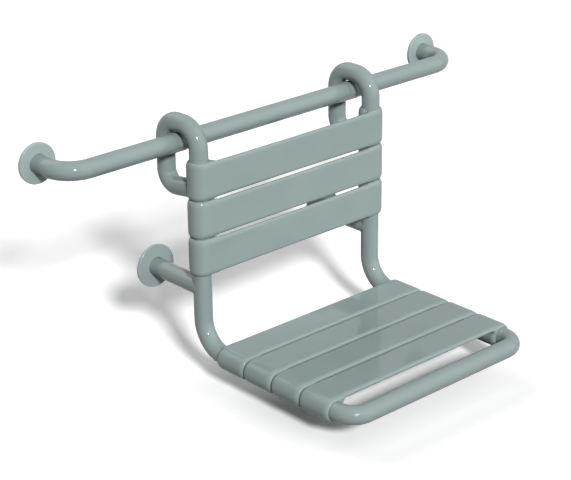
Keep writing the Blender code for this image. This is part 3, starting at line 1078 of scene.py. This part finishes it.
@dataclass(frozen=True)
class WallStruts:
    """Struts from the uprights to the wall, with their welds, feet and pads."""

    frame: SeatFrame
    strut_z: float
    foot_y: float
    face: RoseFace
    pad_radius: float
    pad_thickness: float
    wall_y: float
    socket: float = 0.0055
    foot_lift: float = 0.001
    weld: float = 0.0010
    weld_steps: int = 72
    weld_sides: int = 12
    pad_edge: float = 0.0004
    pad_back_edge: float = 0.0006
    grooves: tuple[float, ...] = (0.010, 0.016, 0.022)
    groove_width: float = 0.0022
    groove_depth: float = 0.0005
    groove_edge: float = 0.0002
    groove_floor: float = 0.0003

    @classmethod
    def from_frame(cls, frame: SeatFrame) -> WallStruts:
        """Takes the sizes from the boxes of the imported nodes."""
        low, high = corners_of("left_strut")
        disc_low, disc_high = corners_of("left_strut_disc")
        pad_low, pad_high = corners_of("left_strut_pad")
        face = RoseFace((disc_high.z - disc_low.z) / 2, FOOT_HEIGHT, frame.radius + FIT_GAP)
        return cls(
            frame=frame,
            strut_z=(low.z + high.z) / 2,
            foot_y=high.y,
            face=face,
            pad_radius=(pad_high.z - pad_low.z) / 2,
            pad_thickness=pad_high.y - pad_low.y,
            wall_y=pad_high.y,
        )

    def tube_mesh(self, x: float, shop: Workshop) -> Mesh:
        """Straight tube coped onto the upright."""
        corners = [(x, self.frame.back_y, self.strut_z, 0.0), (x, self.foot_y, self.strut_z, 0.0)]
        mesh = shop.sweep.tube(corners, self.frame.radius, shop.coating)
        return carved(mesh, [self.frame.saddle(x, self.strut_z)])

    def weld_mesh(self, x: float, shop: Workshop) -> Mesh:
        """Smooth bead of coated weld where the strut meets the upright."""
        path = []
        for step in range(self.weld_steps):
            angle = 2 * pi * step / self.weld_steps
            across, rise = self.frame.radius * cos(angle), self.frame.radius * sin(angle)
            path.append((x + across, self.frame.back_y + abs(rise), self.strut_z + rise, 0.0))
        return shop.sweep.tube(path, self.weld, shop.coating, sides=self.weld_sides, closed=True)

    def foot_mesh(self, x: float, shop: Workshop) -> Mesh:
        """Disc on the strut's end with a recess for the pad."""
        recess, floor = self.pad_radius + FIT_GAP, self.pad_thickness + FIT_GAP
        profile = [(0.0, self.socket, 0.0), (self.face.bore, self.socket, 0.0)]
        profile += self.face.outline(self.foot_lift)
        profile += [(recess, self.foot_lift, 0.0), (recess, floor, 0.0), (0.0, floor, 0.0)]
        # The foot takes the cover finish, whose lighter tones are painted light for its face behind the backrest.
        return turned_mesh(eased(profile), facing_room(x, self.wall_y, self.strut_z), shop.cover)

    def pad_mesh(self, x: float, shop: Workshop) -> Mesh:
        """Rubber pad with grip grooves in its back."""
        corners = [
            (0.0, self.pad_thickness, 0.0),
            (self.pad_radius, self.pad_thickness, self.pad_edge),
            (self.pad_radius, 0.0, self.pad_back_edge),
        ]
        for radius in reversed(self.grooves):
            corners.append((radius + self.groove_width / 2, 0.0, self.groove_edge))
            corners.append((radius, self.groove_depth, self.groove_floor))
            corners.append((radius - self.groove_width / 2, 0.0, self.groove_edge))
        corners.append((0.0, 0.0, 0.0))
        return turned_mesh(eased(corners, steps=3), facing_room(x, self.wall_y, self.strut_z), shop.rubber)

    def build(self, shop: Workshop) -> None:
        """Builds the struts' pieces.

        Args:
            shop: Trees and finishes to use.
        """
        kinds = (
            ("strut_tube", self.tube_mesh, Slot.TUBE, ["strut"]),
            ("strut_weld", self.weld_mesh, Slot.TUBE, []),
            ("strut_foot", self.foot_mesh, Slot.COVER, ["strut_disc"]),
            ("foot_pad", self.pad_mesh, Slot.PAD, ["strut_pad"]),
        )
        for side in Side:
            for name, make, slot, nodes in kinds:
                mesh = make(self.frame.tube_x[side], shop)
                add_piece(side.named(name), mesh, Body.SEAT, [side.named(node) for node in nodes])


@dataclass(frozen=True)
class SlatMould:
    """One moulded slat: a flat panel that wraps round a tube at each end, with rounded rims.

    Its mesh is drawn about its own middle, with the tubes along Z and the panel's front towards -Y. Distances
    inwards are counted from a tube's axis towards the slat's middle.
    """

    half_spacing: float
    outer: float
    bore: float
    length: float
    panel: float = 0.009
    setback: float = 0.0023
    sleeve_rim: Pair = (0.0048, 0.0100)
    panel_rim: Pair = (0.0042, 0.0050)
    root: float = 0.004
    step_start: float = 0.02025
    step_length: float = 0.008
    support: float = 0.0002
    rim_steps: int = 8
    arc_steps: int = 56
    root_steps: int = 8
    front_steps: int = 5
    column_steps: int = 2
    pocket: float = 0.0039
    pocket_floor: float = 0.0191
    pocket_reach: float = 1.2

    def panel_share(self, inward: float) -> float:
        """How far a place belongs to the panel: 0 at the sleeve, 1 along the panel, eased between them."""
        share = min(max((inward - self.step_start) / self.step_length, 0.0), 1.0)
        return share * share * (3 - 2 * share)

    def outline(self) -> tuple[list[tuple[Pair, Pair]], int]:
        """Half of the slat's outline, from the panel's front middle round the sleeve to its back middle.

        Returns:
            Points with their outward directions, as (inward, depth) pairs, and the index of the point where the
            sleeve ends and the root of the panel's back begins.
        """
        back = self.panel - self.outer
        root_depth = back + self.root
        root_inward = sqrt((self.outer + self.root) ** 2 - root_depth**2)
        root_angle = atan2(root_depth, root_inward)
        roots = []
        for step in range(self.root_steps + 1):
            turn = root_angle - pi + step / self.root_steps * (pi / 2 - root_angle)
            place = (root_inward + self.root * cos(turn), root_depth + self.root * sin(turn))
            roots.append((place, (-cos(turn), -sin(turn))))
        front_stop = roots[0][0][0]
        stride = (root_inward - front_stop) / self.root_steps
        fronts = [self.half_spacing] + [root_inward - stride * step for step in range(self.root_steps + 1)]
        fronts += [front_stop * (1 - step / self.front_steps) for step in range(1, self.front_steps)]
        points = [((inward, -self.outer), (0.0, -1.0)) for inward in fronts]
        for step in range(self.arc_steps):
            angle = -pi / 2 - (2 * pi - (root_angle + pi / 2)) * step / self.arc_steps
            ray = (cos(angle), sin(angle))
            points.append(((self.outer * ray[0], self.outer * ray[1]), ray))
        return [*points, *roots, ((self.half_spacing, back), (0.0, 1.0))], len(points)

    def levels(self, inward: float) -> list[Pair]:
        """Inset and height of each ring of the rounded rim, from the wall to the cap.

        Args:
            inward: Distance from the tube's axis towards the slat's middle.

        Returns:
            Pairs of inset from the wall and height above the slat's middle.
        """
        share = self.panel_share(inward)
        depth, length = (a + (b - a) * share for a, b in zip(self.sleeve_rim, self.panel_rim))
        end = self.length / 2 - self.setback * share
        rings = [(0.0, end - length - self.support)]
        for step in range(self.rim_steps + 1):
            angle = pi / 2 * step / self.rim_steps
            rings.append((depth * (1 - cos(angle)), end - length * (1 - sin(angle))))
        rings.append((depth + self.support, end))
        return rings

    def vertex(self, shape: Solid, side: Side, place: Point) -> Vert:
        """New point of one half, from its distance inwards, depth and height."""
        inward, depth, height = place
        return shape.verts.new((side.value * (self.half_spacing - inward), depth, height))

    def add_half(self, shape: Solid, side: Side) -> None:
        """Adds one half of the slat, up to its middle.

        Args:
            shape: Shape that the faces go into.
            side: End of the slat to draw.
        """
        points, root_start = self.outline()
        strips = []
        for (inward, depth), (ray_in, ray_depth) in points:
            rings = []
            for inset, height in self.levels(inward):
                rings.append((inward - ray_in * inset, depth - ray_depth * inset, height))
            places = [(u, v, -h) for u, v, h in reversed(rings)] + rings
            strips.append([self.vertex(shape, side, place) for place in places])
        grid(shape, strips)
        bores = []
        for end, sign in ((0, -1), (-1, 1)):
            bores.append(self.cap(shape, side, [strip[end] for strip in strips], root_start, sign))
        bridge(shape, *bores)

    def cap(self, shape: Solid, side: Side, edge: list[Vert], root_start: int, sign: int) -> list[Vert]:
        """Closes one end of a half: rows of faces along the panel and a ring of faces round the bore.

        Args:
            shape: Shape that the faces go into.
            side: End of the slat that is drawn.
            edge: Points of the cap's edge, in the outline's order.
            root_start: Index of the point where the sleeve ends and the root begins.
            sign: 1 for the upper end, -1 for the lower end.

        Returns:
            The points of the bore's edge.
        """
        panel_points = self.root_steps + 2
        columns = []
        for front, back in zip(edge[:panel_points], reversed(edge[root_start:])):
            between = [front.co.lerp(back.co, step / self.column_steps) for step in range(1, self.column_steps)]
            columns.append([front, *(shape.verts.new(place) for place in between), back])
        grid(shape, columns)
        loop = edge[panel_points : root_start + 1] + columns[-1][-2::-1]
        bore = []
        for corner in loop:
            inward = self.half_spacing - abs(corner.co.x)
            reach = hypot(inward, corner.co.y)
            place = (inward * self.bore / reach, corner.co.y * self.bore / reach, sign * self.length / 2)
            bore.append(self.vertex(shape, side, place))
        bridge(shape, loop, bore)
        return bore

    def mesh(self, shop: Workshop) -> Mesh:
        """Whole slat with a pocket for a screw in the back of each sleeve."""
        shape = bmesh.new()
        pockets = []
        for side in Side:
            self.add_half(shape, side)
            pocket = rod(self.pocket, self.outer * self.pocket_reach, self.pocket_floor, SCREW_STEPS)
            pocket.transform(facing_back(side.value * self.half_spacing))
            pockets.append(pocket)
        return carved(as_mesh(shape, shop.moulding), pockets)


@dataclass(frozen=True)
class SlatScrew:
    """Pan-head screw that holds a sleeve to its tube."""

    head_top: float
    head: float
    shank: float = 0.002
    head_height: float = 0.0022
    reach: float = 0.010
    head_edge: float = 0.0009
    seat_edge: float = 0.0002
    tip_edge: float = 0.0004

    def mesh(self, shop: Workshop) -> Mesh:
        """Screw along Z, outwards from the tube's axis, with a cross recess."""
        seat = self.head_top - self.head_height
        profile = [
            (0.0, self.head_top, 0.0),
            (self.head, self.head_top, self.head_edge),
            (self.head, seat, self.seat_edge),
            (self.shank, seat, 0.0),
            (self.shank, self.reach, self.tip_edge),
            (0.0, self.reach, 0.0),
        ]
        blank = as_mesh(turned(eased(profile, steps=4), SCREW_STEPS), shop.zinc)
        return carved(blank, [cross_recess(Matrix(), self.head_top, self.head)])


class SlatRow(Enum):
    """Rows of slats, with the number of slats in each."""

    BACK = 3
    SEAT = 4

    def nodes(self) -> list[str]:
        """Names of the slats' CAD nodes."""
        return [f"{self.name.lower()}_slat_{index + 1}" for index in range(self.value)]

    def screw_nodes(self) -> list[str]:
        """Names of the CAD nodes of all the slats' screws."""
        return [f"{node}_{side.name.lower()}_screw" for node in self.nodes() for side in Side]


@dataclass(frozen=True)
class SlatSet:
    """Slats of the back and the seat with their screws."""

    frame: SeatFrame
    half_spacing: float
    middle_x: float
    outer: float
    screw: SlatScrew
    notch_clearance: float = 0.0006

    @classmethod
    def from_frame(cls, frame: SeatFrame) -> SlatSet:
        """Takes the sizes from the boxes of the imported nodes."""
        left, right = frame.tube_x[Side.LEFT], frame.tube_x[Side.RIGHT]
        low, _ = corners_of("back_slat_1")
        screw_low, screw_high = corners_of("back_slat_1_left_screw")
        screw = SlatScrew(head_top=screw_high.y - frame.back_y, head=(screw_high.x - screw_low.x) / 2)
        return cls(frame, (right - left) / 2, (left + right) / 2, frame.back_y - low.y, screw)

    def mould(self, row: SlatRow) -> SlatMould:
        """Slat of a row, with the length that its node has."""
        low, high = corners_of(row.nodes()[0])
        length = high.z - low.z if row is SlatRow.BACK else high.y - low.y
        return SlatMould(self.half_spacing, self.outer, self.frame.radius + FIT_GAP, length)

    def place(self, row: SlatRow) -> tuple[Matrix, Point]:
        """Place of a row's first slat and the step to the next."""
        first, second = (corners_of(node) for node in row.nodes()[:2])
        if row is SlatRow.BACK:
            middle = Vector((self.middle_x, self.frame.back_y, (first[0].z + first[1].z) / 2))
            return Matrix.Translation(middle), (0.0, 0.0, second[0].z - first[0].z)
        middle = Vector((self.middle_x, (first[0].y + first[1].y) / 2, self.frame.seat_z))
        lying = Matrix.Rotation(-pi / 2, 4, "X")
        return Matrix.Translation(middle) @ lying, (0.0, second[0].y - first[0].y, 0.0)

    def return_notches(self) -> list[Solid]:
        """Room in the back sleeves for the tubes that return from the eyes."""
        frame, notches = self.frame, []
        length = frame.rear_y - frame.back_y
        slope = atan2(frame.return_z - frame.corner_z, length)
        for side in Side:
            notch = rod(frame.radius + self.notch_clearance, length, 0.0)
            place = Matrix.Translation((frame.tube_x[side], frame.back_y, frame.return_z))
            notch.transform(place @ Matrix.Rotation(-pi / 2 - slope, 4, "X"))
            notches.append(notch)
        return notches

    def screw_pair(self, shop: Workshop) -> Mesh:
        """The two screws of one slat, drawn about the slat's middle."""
        pair = bmesh.new()
        for side in Side:
            mesh = self.screw.mesh(shop)
            mesh.transform(facing_back(side.value * self.half_spacing))
            pair.from_mesh(mesh)
        return as_mesh(pair, shop.zinc)

    def build(self, shop: Workshop) -> None:
        """Builds the two rows of slats and their screws.

        Args:
            shop: Trees and finishes to use.
        """
        for row in SlatRow:
            place, step = self.place(row)
            slat, pair = self.mould(row).mesh(shop), self.screw_pair(shop)
            for mesh in (slat, pair):
                mesh.transform(place)
            slats = shop.repeat.row(slat, row.value, step, shop.moulding)
            if row is SlatRow.BACK:
                slats = carved(slats, self.return_notches())
            add_piece(f"{row.name.lower()}_slats", slats, Body.SEAT, row.nodes())
            screws = shop.repeat.row(pair, row.value, step, shop.zinc)
            add_piece(f"{row.name.lower()}_slat_screws", screws, Body.SEAT, row.screw_nodes())


def direction(turn: float, tilt: float) -> Vector:
    """Ray from the object towards a place in the room, turned from -Y and tilted up, in radians."""
    return Vector((sin(turn) * cos(tilt), -cos(turn) * cos(tilt), sin(tilt)))


@dataclass(frozen=True)
class PhotoCamera:
    """Camera at the photograph's viewing angle."""

    place: Point = (-2.0147, -2.3418, 1.0209)
    azimuth: float = -0.73343
    elevation: float = 0.39617
    roll: float = -0.01205
    focal_pixels: float = 1795.6
    clip: Pair = (0.05, 60.0)

    def build(self) -> None:
        """Makes the camera and sets it as the scene's."""
        back = direction(self.azimuth, self.elevation)
        level = Vector((cos(self.azimuth), sin(self.azimuth), 0.0))
        rise = back.cross(level)
        right = level * cos(self.roll) + rise * sin(self.roll)
        up = rise * cos(self.roll) - level * sin(self.roll)
        camera = bpy.data.cameras.new("photo_camera")
        camera.sensor_fit = "HORIZONTAL"
        camera.sensor_width = SENSOR_WIDTH
        camera.lens = self.focal_pixels * SENSOR_WIDTH / PHOTO_WIDTH
        camera.clip_start, camera.clip_end = self.clip
        holder = placed("photo_camera", camera)
        holder.matrix_world = Matrix.Translation(self.place) @ Matrix((right, up, back)).transposed().to_4x4()
        bpy.context.scene.camera = holder


@dataclass(frozen=True)
class Lamp:
    """Distant soft lamp: where it shines from and how wide it looks, in degrees, and its strength."""

    name: str
    azimuth: float
    elevation: float
    spread: float
    strength: float

    def build(self, target: Vector) -> None:
        """Hangs the lamp so that it faces the target."""
        ray = direction(radians(self.azimuth), radians(self.elevation))
        light = bpy.data.lights.new(self.name, "SUN")
        light.angle = radians(self.spread)
        light.energy = self.strength
        holder = placed(self.name, light)
        holder.location = target + ray * LAMP_DISTANCE
        holder.rotation_euler = ray.to_track_quat("Z", "Y").to_euler()


LAMPS = (
    Lamp("front_lamp", azimuth=-26.0, elevation=32.0, spread=8.0, strength=2.9),
    Lamp("side_lamp", azimuth=30.0, elevation=27.0, spread=70.0, strength=1.0),
    Lamp("back_lamp", azimuth=188.0, elevation=42.0, spread=50.0, strength=0.85),
)


@dataclass(frozen=True)
class Studio:
    """Pale floor, soft light and white surroundings."""

    floor_gap: float = 0.05
    floor_size: float = 30.0
    floor_colour: Colour = (1.28, 1.28, 1.28)
    floor_bounce: Colour = (0.03, 0.03, 0.03)
    world_level: float = 0.10

    @staticmethod
    def seen_directly(builder: TreeBuilder) -> Socket:
        """1 for rays from the camera and rays mirrored or let through on their way, else 0."""
        path = builder.add("ShaderNodeLightPath").outputs
        mirrored = builder.maths("MAXIMUM", path["Is Camera Ray"], path["Is Glossy Ray"])
        return builder.maths("MAXIMUM", mirrored, path["Is Transmission Ray"])

    def floor_material(self) -> Material:
        """Plain pale floor that throws little light back up."""
        material = bpy.data.materials.new("studio_floor")
        builder = TreeBuilder.inside(material)
        seen = self.seen_directly(builder)
        tones = {"Factor": seen, "A": (*self.floor_bounce, 1.0), "B": (*self.floor_colour, 1.0)}
        colour = builder.result("Result", "ShaderNodeMix", tones, data_type="RGBA")
        surface = builder.result("BSDF", "ShaderNodeBsdfDiffuse", {"Color": colour})
        builder.add("ShaderNodeOutputMaterial", {"Surface": surface})
        return material

    def build_floor(self, height: float) -> None:
        """Lays the floor at a height."""
        half = self.floor_size / 2
        mesh = bpy.data.meshes.new("studio_floor")
        corners = [(-half, -half, height), (half, -half, height), (half, half, height), (-half, half, height)]
        mesh.from_pydata(corners, [], [(0, 1, 2, 3)])
        mesh.materials.append(self.floor_material())
        floor = placed("studio_floor", mesh)
        floor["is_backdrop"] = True

    def build_world(self) -> None:
        """Soft even light from all round, white where it is seen or mirrored."""
        world = bpy.data.worlds.new("studio_world")
        builder = TreeBuilder.inside(world)
        levels = {"Factor": self.seen_directly(builder), "A": self.world_level, "B": 1.0}
        level = builder.result("Result", "ShaderNodeMix", levels, data_type="FLOAT")
        white = {"Color": (1.0, 1.0, 1.0, 1.0), "Strength": level}
        light = builder.result("Background", "ShaderNodeBackground", white)
        builder.add("ShaderNodeOutputWorld", {"Surface": light})
        bpy.context.scene.world = world

    def build(self, low: Vector, high: Vector) -> None:
        """Sets up the stage round the object's box.

        Args:
            low: Lowest corner of the object.
            high: Highest corner of the object.
        """
        self.build_floor(low.z - self.floor_gap)
        self.build_world()
        target = (low + high) / 2
        for lamp in LAMPS:
            lamp.build(target)
        bpy.context.scene.view_settings.view_transform = "Standard"


def main() -> None:
    """Loads the frame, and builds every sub-assembly and the studio."""
    logging.basicConfig(level=logging.INFO, format="%(name)s: %(message)s")
    for old in list(bpy.data.objects):
        bpy.data.objects.remove(old)
    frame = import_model()
    cad_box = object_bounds()
    shop = Workshop.opened()

    rail = WallRail.from_frame()
    seat_frame = SeatFrame.from_frame(rail)
    rail.build(shop)
    EyeLiners.from_frame(rail).build(shop)
    seat_frame.build(shop, frame["nodes"])
    WallStruts.from_frame(seat_frame).build(shop)
    SlatSet.from_frame(seat_frame).build(shop)
    Studio().build(Vector(cad_box[0]), Vector(cad_box[1]))
    PhotoCamera().build()


if __name__ == "__main__":
    main()
